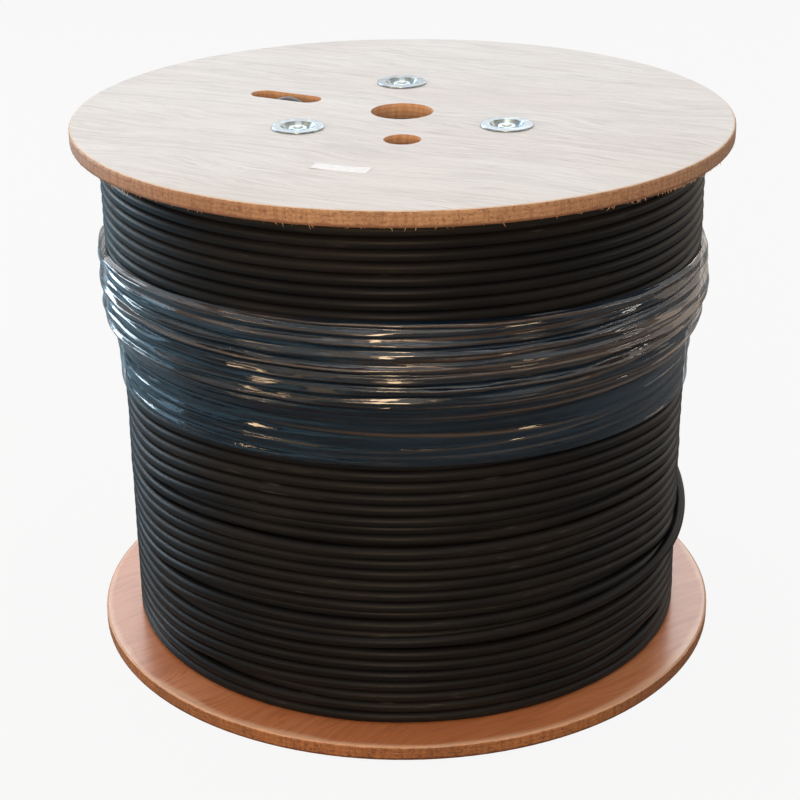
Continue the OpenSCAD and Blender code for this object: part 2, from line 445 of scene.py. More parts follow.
def turned_flange(node, name, outer_up, edge):
    """A flange like its solid, with its rim turned in even columns so that it runs in a clean circle."""
    low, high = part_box(node)[0][2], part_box(node)[1][2]
    face_r = FLANGE_R - RIM_ROUND
    near = 0.002 * MM
    shape = bmesh.new()
    shape.from_mesh(nodes[node].data)
    bmesh.ops.remove_doubles(shape, verts=shape.verts, dist=near)
    rough_rim = []
    for face in shape.faces:
        heights = [corner.co.z for corner in face.verts]
        in_face = max(heights) - low < near or high - min(heights) < near
        if not in_face and min(corner.co.xy.length for corner in face.verts) > face_r - near:
            rough_rim.append(face)
    bmesh.ops.delete(shape, geom=rough_rim, context="FACES")
    open_corners = {corner for side in shape.edges if side.is_boundary for corner in side.verts}
    upper = sorted((corner for corner in open_corners if high - corner.co.z < near), key=bearing)
    lower = sorted((corner for corner in open_corners if corner.co.z - low < near), key=bearing)
    turns = [bearing(corner) for corner in upper]
    rows = [upper]
    for reach, height in rim_profile(low, high):
        rows.append([shape.verts.new((reach * math.cos(t), reach * math.sin(t), height)) for t in turns])
    rows.append(lower)
    for above, below in zip(rows, rows[1:]):
        for column in range(len(turns)):
            follow = (column + 1) % len(turns)
            shape.faces.new((above[column], below[column], below[follow], above[follow]))
    bmesh.ops.recalc_face_normals(shape, faces=shape.faces)
    face_rings = set(upper) | set(lower)
    for side in shape.edges:
        on_ring = side.verts[0] in face_rings and side.verts[1] in face_rings
        side.smooth = not on_ring and side.calc_face_angle(0.0) < math.radians(35)
    for face in shape.faces:
        face.smooth = True
    mesh = bpy.data.meshes.new(name)
    shape.to_mesh(mesh)
    shape.free()
    dress_flange(mesh, outer_up, edge)
    return show(bpy.data.objects.new(name, mesh))


def jacket_finish(name, black, worn, specular):
    """Satin black cable jacket with faint scuffs and dust."""
    made, tree, shader = new_finish(name, 0.4, specular)
    place = object_place(tree)
    broad = speckle(tree, place, (9.0, 9.0, 60.0), 3.0)
    fine = speckle(tree, place, (160.0, 160.0, 900.0), 3.0, 0.6)
    rub = speckle(tree, place, (45.0, 45.0, 700.0))
    scuff = times(tree, ramp(tree, rub, 0.62, 0.74), ramp(tree, broad, 0.48, 0.62))
    shares = [(ramp(tree, broad, 0.35, 0.7), worn), (times(tree, scuff, 0.5), (0.06, 0.055, 0.05, 1))]
    feed(tree, shader.inputs["Base Color"], overlay(tree, black, shares))
    dull = plus(tree, ramp(tree, broad, 0.3, 0.7, 0.36, 0.46), times(tree, scuff, 0.12))
    feed(tree, shader.inputs["Roughness"], dull)
    relief(tree, shader, fine, 0.12, 0.08 * MM)
    return made


JACKET = jacket_finish("cable_jacket", (0.0067, 0.0070, 0.0082, 1), (0.0117, 0.0108, 0.0106, 1), 0.085)
# The tail's lighter grey jacket is partly dust and partly a painted reflection of the bright surroundings on
# its upper side.
TAIL_JACKET_DUST_AND_SHEEN = jacket_finish("dust_and_sheen_jacket", (0.050, 0.046, 0.050, 1), (0.085, 0.078, 0.082, 1), 0.55)


# Winding: rule for one layer of turns

# Turns lie level and step up by one pitch at the back, over this share of a turn
STEP_SHARE = 0.2
# A layer's first turn rises from the layer below over this share of a turn
RISE_SHARE = 0.05
LAY_START = math.radians(130)

# Gaps that open between turns: turn above the gap, middle of the gap around the drum, width
FRONT_GAPS = [(2, 280, 6.5), (6, 272, 5.0), (8, 272, 5.0), (15, 268, 5.0)]
BACK_GAPS = [(5, 95, 4.5), (12, 75, 5.5), (18, 120, 4.0), (22, 40, 3.0)]
GAPS = [(turn, math.radians(middle), width * MM) for turn, middle, width in FRONT_GAPS + BACK_GAPS]
GAP_SPACE = 26.0 * MM
# The gap that holds the loose strand and no sunk turn
STRAND_GAP = 1
# A sunk turn lies so many cable radii from each of the two turns that it rests against
SUNK_REST = 1.97

# Turns that stand out or lie deep near the front: turn, middle, lift
FRONT_LIFTS = [(6, 285, -1.8), (13, 268, 1.3), (14, 268, -2.2)]
LIFTS = [(turn, math.radians(middle), lift * MM) for turn, middle, lift in FRONT_LIFTS]


def gap_start(turn, middle):
    """Where along the cable a gap begins: half a turn before its middle, under the turn above it."""
    return turn - 1 + ((middle + math.pi - LAY_START) % math.tau) / math.tau


def make_turn_path(name, gaps, lifts, turns):
    """Node group: from the count of turns along the cable to the height and place of its centre."""
    tree, source, sink = new_group(
        name,
        "GeometryNodeTree",
        [
            ("Turn", NUMBER, 0.0), ("First Height", NUMBER, 0.0), ("Turn Pitch", NUMBER, 0.007),
            ("Layer Radius", NUMBER, 0.17), ("Wander", NUMBER, 0.0005), ("Seed", NUMBER, 0.0),
        ],
        [("Height", NUMBER), ("Angle", NUMBER), ("Position", VECTOR)],
    )
    turn = source.outputs["Turn"]
    pitch = source.outputs["Turn Pitch"]
    wander = source.outputs["Wander"]
    angle = plus(tree, times(tree, turn, math.tau), LAY_START)
    step = ramp(tree, calc(tree, "FRACT", turn), 1 - STEP_SHARE, 1.0)
    lay = times(tree, plus(tree, calc(tree, "FLOOR", turn), step), pitch)
    below = 0.0
    around = 0.0
    for over, middle, width in gaps:
        facing = calc(tree, "COSINE", minus(tree, angle, middle))
        opened = ramp(tree, facing, 0.30, 0.94, 0.0, width)
        passed = calc(tree, "GREATER_THAN", turn, gap_start(over, middle))
        below = plus(tree, below, times(tree, opened, passed))
        around = plus(tree, around, opened)
    if gaps:
        full = times(tree, pitch, float(turns))
        spread = calc(tree, "DIVIDE", plus(tree, full, GAP_SPACE), plus(tree, full, around))
        lay = times(tree, plus(tree, lay, below), spread)
    spot = round_axis(tree, 1.0, angle, plus(tree, times(tree, turn, 0.31), source.outputs["Seed"]))
    elsewhere = vector_calc(tree, "ADD", spot, (7.0, 3.0, 11.0))
    drift = minus(tree, speckle(tree, spot, (1.3, 1.3, 1.3)), 0.5)
    swell = minus(tree, speckle(tree, elsewhere, (1.6, 1.6, 1.6)), 0.5)
    height = plus(tree, source.outputs["First Height"], plus(tree, lay, times(tree, drift, wander)))
    radius = plus(tree, source.outputs["Layer Radius"], times(tree, swell, times(tree, wander, 1.6)))
    radius = plus(tree, radius, ramp(tree, turn, 0.0, RISE_SHARE, -LAYER_PITCH, 0.0))
    for which, middle, lift in lifts:
        centre = which + ((middle - LAY_START) % math.tau) / math.tau
        away = calc(tree, "ABSOLUTE", minus(tree, turn, centre))
        radius = plus(tree, radius, ramp(tree, away, 0.05, 0.24, lift, 0.0))
    position = round_axis(tree, radius, angle, height)
    give(tree, sink, {"Height": height, "Angle": angle, "Position": position})
    return tree


LAY_NAMES = ("First Height", "Turn Pitch", "Layer Radius", "Wander", "Seed")
LAYER_INPUTS = [
    ("Turns", NUMBER, 10.0), ("Steps a Turn", WHOLE, 128), ("First Height", NUMBER, 0.0),
    ("Turn Pitch", NUMBER, 0.007), ("Layer Radius", NUMBER, 0.17), ("Cable Radius", NUMBER, 0.0035),
    ("Cable Sides", WHOLE, 12), ("Wander", NUMBER, 0.0005), ("Seed", NUMBER, 0.0), ("Finish", FINISH, None),
]


def sweep_cable(tree, source, sink, curve):
    """Ends a tree: sweeps the cable's round section along a curve and closes its ends."""
    section = put(
        tree, "GeometryNodeCurvePrimitiveCircle",
        {"Resolution": source.outputs["Cable Sides"], "Radius": source.outputs["Cable Radius"]},
        mode="RADIUS",
    )
    tube = put(
        tree, "GeometryNodeCurveToMesh",
        {"Curve": curve, "Profile Curve": section.outputs["Curve"], "Fill Caps": True},
    )
    smooth = put(tree, "GeometryNodeSetShadeSmooth", {0: tube.outputs[0]})
    whole = put(tree, "GeometryNodeRealizeInstances", {0: smooth.outputs[0]})
    coated = put(tree, "GeometryNodeSetMaterial", {0: whole.outputs[0], "Material": source.outputs["Finish"]})
    feed(tree, sink.inputs["Cable"], coated.outputs[0])


def point_row(tree, count):
    """A straight curve with that many points, to be laid along a rule."""
    line = put(tree, "GeometryNodeCurvePrimitiveLine")
    row = put(tree, "GeometryNodeResampleCurve", {"Curve": line.outputs[0], "Count": count}, mode="COUNT")
    return row.outputs[0]


def make_layer_tree(name, path):
    """Geometry tree: one layer of turns laid along a turn path."""
    tree, source, sink = new_group(name, "GeometryNodeTree", LAYER_INPUTS, [("Cable", SHAPE)])
    steps = source.outputs["Steps a Turn"]
    row = point_row(tree, plus(tree, times(tree, source.outputs["Turns"], steps), 1.0))
    index = put(tree, "GeometryNodeInputIndex").outputs[0]
    shared = {label: source.outputs[label] for label in LAY_NAMES}
    lay = use_group(tree, path, {"Turn": calc(tree, "DIVIDE", index, steps), **shared})
    laid = put(tree, "GeometryNodeSetPosition", {"Geometry": row, "Position": lay.outputs["Position"]})
    sweep_cable(tree, source, sink, laid.outputs[0])
    return tree


def make_sunk_tree(name, path):
    """Geometry tree: a turn that has dropped into the gap between two turns of a layer."""
    inputs = LAYER_INPUTS + [("Gap Start", NUMBER, 0.0)]
    tree, source, sink = new_group(name, "GeometryNodeTree", inputs, [("Cable", SHAPE)])
    steps = source.outputs["Steps a Turn"]
    row = point_row(tree, plus(tree, steps, 1.0))
    index = put(tree, "GeometryNodeInputIndex").outputs[0]
    over = plus(tree, source.outputs["Gap Start"], calc(tree, "DIVIDE", index, steps))
    shared = {label: source.outputs[label] for label in LAY_NAMES}
    upper = use_group(tree, path, {"Turn": over, **shared}).outputs
    lower = use_group(tree, path, {"Turn": minus(tree, over, 1.0), **shared}).outputs
    half = times(tree, minus(tree, upper["Height"], lower["Height"]), 0.5)
    across = times(tree, source.outputs["Cable Radius"], SUNK_REST)
    left = calc(tree, "MAXIMUM", minus(tree, times(tree, across, across), times(tree, half, half)), 0.0)
    radius = minus(tree, source.outputs["Layer Radius"], calc(tree, "SQRT", left))
    position = round_axis(tree, radius, upper["Angle"], plus(tree, lower["Height"], half))
    laid = put(tree, "GeometryNodeSetPosition", {"Geometry": row, "Position": position})
    sweep_cable(tree, source, sink, laid.outputs[0])
    return tree


def make_strand_tree():
    """Geometry tree: cable swept along the curve that it is put on."""
    inputs = [
        ("Route", SHAPE, None), ("Cable Radius", NUMBER, 0.0035), ("Cable Sides", WHOLE, 12),
        ("Finish", FINISH, None),
    ]
    tree, source, sink = new_group("loose_strand", "GeometryNodeTree", inputs, [("Cable", SHAPE)])
    sweep_cable(tree, source, sink, source.outputs["Route"])
    return tree


def show(made):
    """Puts an object in the scene."""
    bpy.context.scene.collection.objects.link(made)
    return made


def grow(name, tree, values, carrier=None):
    """Runs a geometry tree on a carrier and returns its result as a plain mesh piece."""
    start = show(bpy.data.objects.new(name + "_carrier", carrier or bpy.data.meshes.new(name + "_carrier")))
    rule = start.modifiers.new("rule", "NODES")
    rule.node_group = tree
    for item in tree.interface.items_tree:
        if item.item_type == "SOCKET" and item.in_out == "INPUT" and item.name in values:
            rule[item.identifier] = values[item.name]
    ready = start.evaluated_get(bpy.context.evaluated_depsgraph_get())
    mesh = bpy.data.meshes.new_from_object(ready)
    mesh.name = name
    bpy.data.objects.remove(start)
    tidy = bmesh.new()
    tidy.from_mesh(mesh)
    bmesh.ops.recalc_face_normals(tidy, faces=tidy.faces)
    tidy.to_mesh(mesh)
    tidy.free()
    return show(bpy.data.objects.new(name, mesh))


def settle(piece, slot, *stands_for):
    """Ties a finished piece to the drum and hides the solids that it stands for. The slot is not used."""
    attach(piece, "root")
    if stands_for:
        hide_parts(*stands_for)


def recoat(node, finish):
    """Gives a solid of the drum its finish."""
    mesh = nodes[node].data
    mesh.materials.clear()
    mesh.materials.append(finish)


settle(turned_flange("top_flange", "upper_flange", True, UPPER_EDGE), "plywood", "top_flange")
settle(turned_flange("bottom_flange", "lower_flange", False, LOWER_EDGE), "plywood", "bottom_flange")

PLAIN_PATH = make_turn_path("even_turns", [], [], 1)
GAPPED_PATH = make_turn_path("gapped_turns", GAPS, LIFTS, FULL_TURNS)
EVEN_LAYER = make_layer_tree("even_layer", PLAIN_PATH)
GAPPED_LAYER = make_layer_tree("gapped_layer", GAPPED_PATH)
SUNK_TURN = make_sunk_tree("sunk_turn", GAPPED_PATH)
LOOSE_STRAND = make_strand_tree()


def layer_sizes(turns, steps, first_height, radius, sides, wander, seed):
    """Inputs of one layer of turns."""
    return {
        "Turns": float(turns), "Steps a Turn": steps, "First Height": first_height, "Turn Pitch": TURN_PITCH,
        "Layer Radius": radius, "Cable Radius": CABLE_R, "Cable Sides": sides, "Wander": wander, "Seed": seed,
        "Finish": JACKET,
    }


UNDER_SIZES = layer_sizes(33, 96, FIRST_TURN_Z, UNDER_LAYER_R, 8, 0.4 * MM, 4.0)
FULL_SIZES = layer_sizes(FULL_TURNS, 160, FIRST_TURN_Z, FULL_LAYER_R, 14, 1.1 * MM, 9.0)
PART_SIZES = layer_sizes(PART_TURNS, 160, PART_LOW_Z - TURN_PITCH * 0.5, PART_LAYER_R, 14, 0.8 * MM, 15.0)
winding_pieces = [
    grow("winding_under_layer", EVEN_LAYER, UNDER_SIZES),
    grow("winding_full_layer", GAPPED_LAYER, FULL_SIZES),
    grow("winding_part_layer", EVEN_LAYER, PART_SIZES),
]
for number, (turn, middle, _) in enumerate(GAPS):
    if number == STRAND_GAP:
        continue
    sunk_sizes = {**FULL_SIZES, "Gap Start": gap_start(turn, middle), "Cable Sides": 12}
    winding_pieces.append(grow("sunk_turn_%d" % (number + 1), SUNK_TURN, sunk_sizes))

# Loose strand: it comes up through the turns at the back, crosses down over them at the right
# and lies in a gap across the front. Angle around the drum, height, distance out from the layer.
STRAND_ROUTE = [
    (190, 57, -6.2), (205, 59, -4.5), (222, 61, -1.6), (245, 64, 0.8), (270, 66, 2.0), (298, 68, 2.8),
    (320, 70.5, 4.2), (338, 74, 5.4), (352, 78.5, 5.7), (368, 86, 5.7), (386, 94.5, 5.2), (404, 101, 2.0),
    (422, 104.5, -1.8), (440, 106, -4.6), (460, 106.5, -6.2),
]


def smooth_row(points, count):
    """Points spaced evenly along a smooth curve through the given ones."""
    given = np.array(points, dtype=float)
    ends = np.vstack([2 * given[0] - given[1], given, 2 * given[-1] - given[-2]])
    out = []
    for share in np.linspace(0, len(given) - 1, count):
        at = min(int(share), len(given) - 2)
        u = share - at
        a, b, c, d = ends[at:at + 4]
        bend = (2 * a - 5 * b + 4 * c - d) * u ** 2
        twist = (3 * b - a - 3 * c + d) * u ** 3
        out.append(0.5 * (2 * b + (c - a) * u + bend + twist))
    return np.array(out)


def route_curve(name, points):
    """A curve through points, in metres."""
    curve = bpy.data.curves.new(name, "CURVE")
    curve.dimensions = "3D"
    line = curve.splines.new("POLY")
    line.points.add(len(points) - 1)
    for target, spot in zip(line.points, points):
        target.co = (*spot, 1.0)
    return curve


def strand_points():
    """The loose strand's route in the drum's frame."""
    out = []
    for angle, height, lift in smooth_row(STRAND_ROUTE, 150):
        reach = FULL_LAYER_R + lift * MM
        turn = math.radians(angle)
        out.append((reach * math.cos(turn), reach * math.sin(turn), height * MM))
    return out


winding_pieces.append(
    grow(
        "loose_strand", LOOSE_STRAND,
        {"Cable Radius": CABLE_R, "Cable Sides": 14, "Finish": JACKET},
        route_curve("loose_strand_route", strand_points()),
    )
)


def mesh_piece(name, points, faces, finish, smooth=True):
    """A piece from points and faces."""
    mesh = bpy.data.meshes.new(name)
    mesh.from_pydata([tuple(p) for p in points], [], [tuple(int(i) for i in f) for f in faces])
    mesh.update()
    mesh.materials.append(finish)
    mesh.polygons.foreach_set("use_smooth", [smooth] * len(mesh.polygons))
    return show(bpy.data.objects.new(name, mesh))


def ring_faces(rows, columns):
    """Quads of a closed tube of rows by columns, the last row joined to the first."""
    row = np.arange(rows)[:, None]
    column = np.arange(columns)[None, :]
    after = (column + 1) % columns
    nxt = (row + 1) % rows
    quads = np.stack(
        [row * columns + column, row * columns + after, nxt * columns + after, nxt * columns + column], -1
    )
    return quads.reshape(-1, 4)


def turned_points(profile, columns):
    """Points of a profile of (radius, height) turned round the drum's axis."""
    angle = np.linspace(0, math.tau, columns, endpoint=False)
    radius = np.array([p[0] for p in profile])[:, None]
    height = np.array([p[1] for p in profile])[:, None]
    points = np.stack(
        [radius * np.cos(angle), radius * np.sin(angle), np.repeat(height, columns, axis=1)], -1
    )
    return points.reshape(-1, 3)


def winding_core():
    """Inner layers of the winding: a turned body whose round layers show at both ends."""
    layer_count = 13
    barrel_gap = 0.2 * MM
    bends = [math.pi * share for share in np.linspace(0.08, 0.92, 7)]
    first = BARREL_R + barrel_gap + CABLE_R
    layers = [first + number * LAYER_PITCH for number in range(layer_count)]
    inside = layers[0] - CABLE_R
    outside = layers[-1] + CABLE_R * 0.2
    profile = [(inside, FIRST_TURN_Z)]
    for radius in layers:
        for bend in bends:
            profile.append((radius - CABLE_R * math.cos(bend), FIRST_TURN_Z - CABLE_R * math.sin(bend)))
    profile.append((outside, FIRST_TURN_Z))
    profile.append((outside, LAST_TURN_Z))
    for radius in reversed(layers):
        for bend in bends:
            profile.append((radius + CABLE_R * math.cos(bend), LAST_TURN_Z + CABLE_R * math.sin(bend)))
    profile.append((inside, LAST_TURN_Z))
    columns = 120
    return mesh_piece(
        "winding_core", turned_points(profile, columns), ring_faces(len(profile), columns), JACKET
    )


winding_pieces.append(winding_core())
for piece in winding_pieces:
    settle(piece, "cable_jacket", "cable_winding")

recoat("cable_tail", TAIL_JACKET_DUST_AND_SHEEN)


# Film: clear stretch film, gathered into pleats where the part layer ends

def film_finish(name, thin):
    """Clear glossy film in several turns, hazy where it is gathered, with painted reflections: navy, blue
    clouds, brown on gathered strands.
    """
    made, tree, shader = new_finish(name, 0.1, 0.5)
    gather_and_sheen = put(tree, "ShaderNodeAttribute", attribute_name="gather_and_sheen").outputs["Fac"]
    place = object_place(tree)
    cloud = speckle(tree, place, (12.0, 12.0, 60.0), 3.0)
    streak = speckle(tree, place, (5.0, 5.0, 420.0), 3.0)
    crinkle = speckle(tree, place, (75.0, 75.0, 230.0))
    # Painted reflections: a navy base and bluer clouds for the cool window, a brown where the film is
    # gathered for the warm room.
    shares = [
        (ramp(tree, cloud, 0.35, 0.7), (0.005, 0.025, 0.054, 1)),
        (ramp(tree, gather_and_sheen, 0.15, 0.8, 0.0, 0.75), (0.090, 0.060, 0.038, 1)),
    ]
    feed(tree, shader.inputs["Base Color"], overlay(tree, (0.002, 0.011, 0.026, 1), shares))
    cover = ramp(tree, streak, 0.40, 0.70, 0.50 * thin, 0.72 * thin)
    feed(tree, shader.inputs["Alpha"], plus(tree, cover, ramp(tree, gather_and_sheen, 0.2, 1.0, 0.0, 0.26 * thin)))
    feed(tree, shader.inputs["Roughness"], ramp(tree, cloud, 0.3, 0.7, 0.05, 0.10))
    shader.inputs["IOR"].default_value = 1.75
    relief(tree, shader, crinkle, 0.45, 0.8 * MM)
    return made


FILM = film_finish("stretch_film", 1.0)
FILM_INSIDE = film_finish("stretch_film_inside", 0.1)

# The film's edges lie higher at the front: middle height, rise towards the front, where it is highest
FILM_LOW = (170.5 * MM, 9.2 * MM, math.radians(258))
FILM_HIGH = (259.0 * MM, 7.5 * MM, math.radians(260))
FILM_PROFILE_Z = [150, 178, 190, 200, 207, 214, 221, 228, 240, 252, 258, 262, 270]
FILM_PROFILE_R = [178.0, 178.0, 178.2, 178.9, 180.3, 182.6, 184.3, 184.8, 185.0, 184.9, 184.8, 184.6, 184.4]


def film_edge(angle, edge):
    """Height of one edge of the film around the drum."""
    middle, rise, front = edge
    return middle + rise * np.cos(angle - front)


def film_waves(angle, seeds, size):
    """A slow wander around the drum, the same where it closes."""
    total = np.zeros_like(angle)
    for count, phase in enumerate(seeds, start=1):
        total = total + np.sin(count * angle + phase) / count
    return total * size


def eased(share):
    """A share held between 0 and 1, with soft ends."""
    held = np.clip(share, 0, 1)
    return held * held * (3 - 2 * held)


def film_strands(angle, height):
    """The turns under the film, and the rope-like strands into which it gathers over them."""
    step_start, step_reach = 58, 72
    step = eased((np.degrees(angle) - step_start) / step_reach)
    over = (height - PART_LOW_Z) / TURN_PITCH + 0.5 - step
    total = 1.7 * (0.5 + 0.5 * np.cos(math.tau * over)) ** 0.8
    # Trains of strands: spacing, climb round the drum, wander, sway, size
    trains = [
        (5.3, 1, (2.2, 0.4, 5.0, 1.1), 2.4, 0.85),
        (3.7, -2, (1.2, 3.4, 0.6, 5.2), 2.6, 0.45),
        (2.6, 3, (4.1, 2.4, 1.6, 0.2), 2.2, 0.16),
    ]
    for length, leads, seeds, sway, size in trains:
        line = height / MM + film_waves(angle, seeds, sway)
        wave = 0.5 + 0.5 * np.cos(math.tau * line / length + leads * angle)
        strength = 0.65 + 0.35 * np.sin(2 * angle + seeds[0]) * np.cos(math.tau * line / 60 + seeds[1])
        total = total + size * strength * wave ** 1.8
    return total


def film_folds():
    """Single folds: level, middle round the drum, reach, slope, size, width and wander, with a share that
    makes them hazy and paints a warm sheen.
    """
    pick = random.Random(31)

    def wander():
        return [pick.uniform(0, math.tau) for _ in range(4)]

    pleats = []
    for _ in range(34):
        level = pick.choice((pick.uniform(205, 260), pick.uniform(205, 260), pick.uniform(184, 212)))
        pleats.append((
            level, pick.uniform(0, math.tau), pick.uniform(0.6, 2.2), pick.gauss(0, 2.5),
            pick.uniform(0.4, 1.2), pick.uniform(0.9, 1.9), wander(),
        ))
    fan = 13
    for number in range(fan):
        slope = -15 + 34 * number / (fan - 1) + pick.uniform(-1.5, 1.5)
        level = 238 + pick.uniform(-6, 6) - slope * 0.45
        pleats.append((
            level, math.radians(pick.uniform(316, 334)), pick.uniform(0.5, 0.9), slope,
            pick.uniform(0.7, 1.6), pick.uniform(0.9, 1.8), wander(),
        ))
    tucks = []
    for number in range(16):
        side = pick.uniform(196, 232) if number < 14 else pick.uniform(318, 342)
        tucks.append((
            pick.uniform(174, 206), math.radians(side), pick.uniform(0.3, 0.7), pick.gauss(0, 3.5),
            pick.uniform(1.3, 2.4), pick.uniform(1.2, 2.2), wander(),
        ))
    return (pleats, 1.0), (tucks, 0.2)


def film_pleats(angle, height):
    """Lift of the folds over the film, in millimetres, and how gathered it is there: hazier and with a
    painted warm sheen.
    """
    lift = np.zeros_like(height)
    gather_and_sheen = np.zeros_like(height)
    for folds, haze_and_sheen in film_folds():
        for level, middle, reach, slope, size, width, seeds in folds:
            away = (angle - middle + math.pi) % math.tau - math.pi
            line = level + slope * away + film_waves(angle, seeds, 0.9)
            across = (height / MM - line) / width
            ridge = eased(1 - np.abs(away) / reach) / (1 + across ** 2) ** 1.5
            lift = lift + ridge * size
            gather_and_sheen = np.maximum(gather_and_sheen, ridge * min(1.0, size) * haze_and_sheen)
    return np.minimum(lift, 2.0), gather_and_sheen


def bell(value, middle, width):
    """A smooth hump of height 1."""
    return np.exp(-(((value - middle) / width) ** 2))


def film_band():
    """The film as a closed thin shell: pleated outside, plain inside."""
    columns = 330
    outer_rows = 230
    inner_rows = 24
    # In millimetres: where the film begins to step out over the part layer, the step's height, the wall
    step_foot, step_rise, wall = 204, 16, 0.5
    angle = np.linspace(0, math.tau, columns, endpoint=False)[None, :]
    low = film_edge(angle, FILM_LOW) + film_waves(angle, (0.4, 2.1, 4.0, 1.2, 5.1), 0.7 * MM)
    high = film_edge(angle, FILM_HIGH) + film_waves(angle, (3.0, 1.0, 0.2, 2.2, 4.4), 0.8 * MM)
    share = np.linspace(0, 1, outer_rows)[:, None]
    height = low + (high - low) * share
    spread = np.broadcast_to(angle, height.shape)
    base = np.interp(height / MM, FILM_PROFILE_Z, FILM_PROFILE_R)
    tight = eased((height / MM - step_foot) / step_rise)
    turn = np.cos(math.tau * (height - FIRST_TURN_Z) / TURN_PITCH)
    facing = np.degrees(spread)
    turn_size = 0.70 - 0.40 * bell(facing, 272, 36) - 0.20 * bell(facing, 322, 18)
    wobble = 0.45
    ripples = ((13, 0.31, 0.4, 0.38), (21, -0.40, 2.2, 0.26), (34, 0.60, 4.1, 0.13))
    for count, twist, phase, size in ripples:
        wobble = wobble + size * np.sin(count * spread + twist * height / MM + phase)
    lift, gather_and_sheen = film_pleats(spread, height)
    strands = film_strands(spread, height)
    hem = bell((high - height) / MM, 2.2, 1.1) * (0.9 + 0.4 * np.sin(3 * spread))
    radius = base + strands * (0.10 + 0.90 * tight) + turn_size * turn * (1 - tight)
    radius = radius + lift * (0.5 + 0.5 * tight) + wobble * (0.35 + 0.65 * tight) + hem
    gather_and_sheen = np.maximum(gather_and_sheen, np.clip(strands / 2.4 - 0.40, 0, 1) * tight * 0.9)
    gather_and_sheen = np.maximum(gather_and_sheen, np.clip(hem, 0, 1) * 0.8)
    edge = np.clip(np.minimum(share, 1 - share) * outer_rows / 3, 0, 1)
    radius = (radius * edge + (base - 0.2) * (1 - edge)) * MM
    outer = np.stack([radius * np.cos(spread), radius * np.sin(spread), height], -1)
    share_in = np.linspace(1, 0, inner_rows)[:, None]
    height_in = low + (high - low) * share_in
    spread_in = np.broadcast_to(angle, height_in.shape)
    base_in = (np.interp(height_in / MM, FILM_PROFILE_Z, FILM_PROFILE_R) - wall) * MM
    inner = np.stack([base_in * np.cos(spread_in), base_in * np.sin(spread_in), height_in], -1)
    points = np.concatenate([outer, inner]).reshape(-1, 3)
    rows = outer_rows + inner_rows
    band = mesh_piece("film_band", points, ring_faces(rows, columns), FILM)
    # This mark makes the film hazy and gives it its painted brown reflection.
    marks = np.concatenate([gather_and_sheen.reshape(-1), np.zeros(inner_rows * columns)])
    band.data.materials.append(FILM_INSIDE)
    sides = np.zeros(rows * columns, dtype=np.int32)
    sides[outer_rows * columns:(rows - 1) * columns] = 1
    band.data.polygons.foreach_set("material_index", sides)
    layer = band.data.attributes.new("gather_and_sheen", "FLOAT", "POINT")
    layer.data.foreach_set("value", marks.astype(np.float32))
    return band


settle(film_band(), "film", "film_wrap")


# Steel: cup washers, nuts and tie rods

ROD_CIRCLE_R = 71 * MM
ROD_TURNS = (90, 210, 330)


def make_rod_distance():
    """Distance of a point from the nearest tie rod's axis."""
    tree, source, sink = new_group("rod_distance", "ShaderNodeTree", [], [("Distance", NUMBER)])
    flat = vector_calc(tree, "MULTIPLY", object_place(tree), (1.0, 1.0, 0.0))
    nearest = 1.0
    for turn in ROD_TURNS:
        rod = (ROD_CIRCLE_R * math.cos(math.radians(turn)), ROD_CIRCLE_R * math.sin(math.radians(turn)), 0.0)
        away = put(tree, "ShaderNodeVectorMath", {0: flat, 1: rod}, operation="DISTANCE").outputs["Value"]
        nearest = calc(tree, "MINIMUM", nearest, away)
    feed(tree, sink.inputs["Distance"], nearest)
    return tree


ROD_DISTANCE = make_rod_distance()


def zinc_finish(name, rim, cone, straw, roughness):
    """Zinc plate: bluish rim, greenish cup and straw-coloured spots, with fine scratches; a darker rim is
    painted shade against its reflection.
    """
    made, tree, shader = new_finish(name, roughness, 0.5)
    place = object_place(tree)
    away = use_group(tree, ROD_DISTANCE).outputs["Distance"]
    patch = speckle(tree, place, (150.0, 150.0, 150.0), 3.0)
    scratch = speckle(tree, place, (260.0, 2400.0, 900.0))
    inward = ramp(tree, away, 9.0 * MM, 13.0 * MM, 1.0, 0.35)
    shares = [
        # Rim colour; on the bright zinc it is darker: painted shade that tones down the rim's reflection.
        (ramp(tree, away, 8.0 * MM, 10.6 * MM), rim),
        (times(tree, ramp(tree, patch, 0.48, 0.64, 0.0, 0.8), inward), straw),
    ]
    feed(tree, shader.inputs["Base Color"], overlay(tree, cone, shares))
    shader.inputs["Metallic"].default_value = 1.0
    feed(tree, shader.inputs["Roughness"], ramp(tree, scratch, 0.3, 0.7, roughness - 0.04, roughness + 0.08))
    relief(tree, shader, scratch, 0.10, 0.05 * MM)
    return made


# The rim is darker than the cup: painted shade that tones down the rim's reflection of the window.
ZINC = zinc_finish(
    "zinc_plate", (0.285, 0.33, 0.36, 1), (0.50, 0.63, 0.72, 1), (0.60, 0.69, 0.65, 1), 0.18
)
DULL_ZINC = zinc_finish(
    "dull_zinc", (0.50, 0.50, 0.48, 1), (0.44, 0.45, 0.44, 1), (0.46, 0.42, 0.30, 1), 0.34
)
STEEL = {"tie_rod": DULL_ZINC, "top_washer": ZINC, "bottom_washer": ZINC, "top_nut": ZINC, "bottom_nut": ZINC}
for name, finish in STEEL.items():
    for number in range(1, len(ROD_TURNS) + 1):
        recoat("%s_%d" % (name, number), finish)


# Barrel: width of the strip that its board is wound from
BOARD_STRIP = 80 * MM


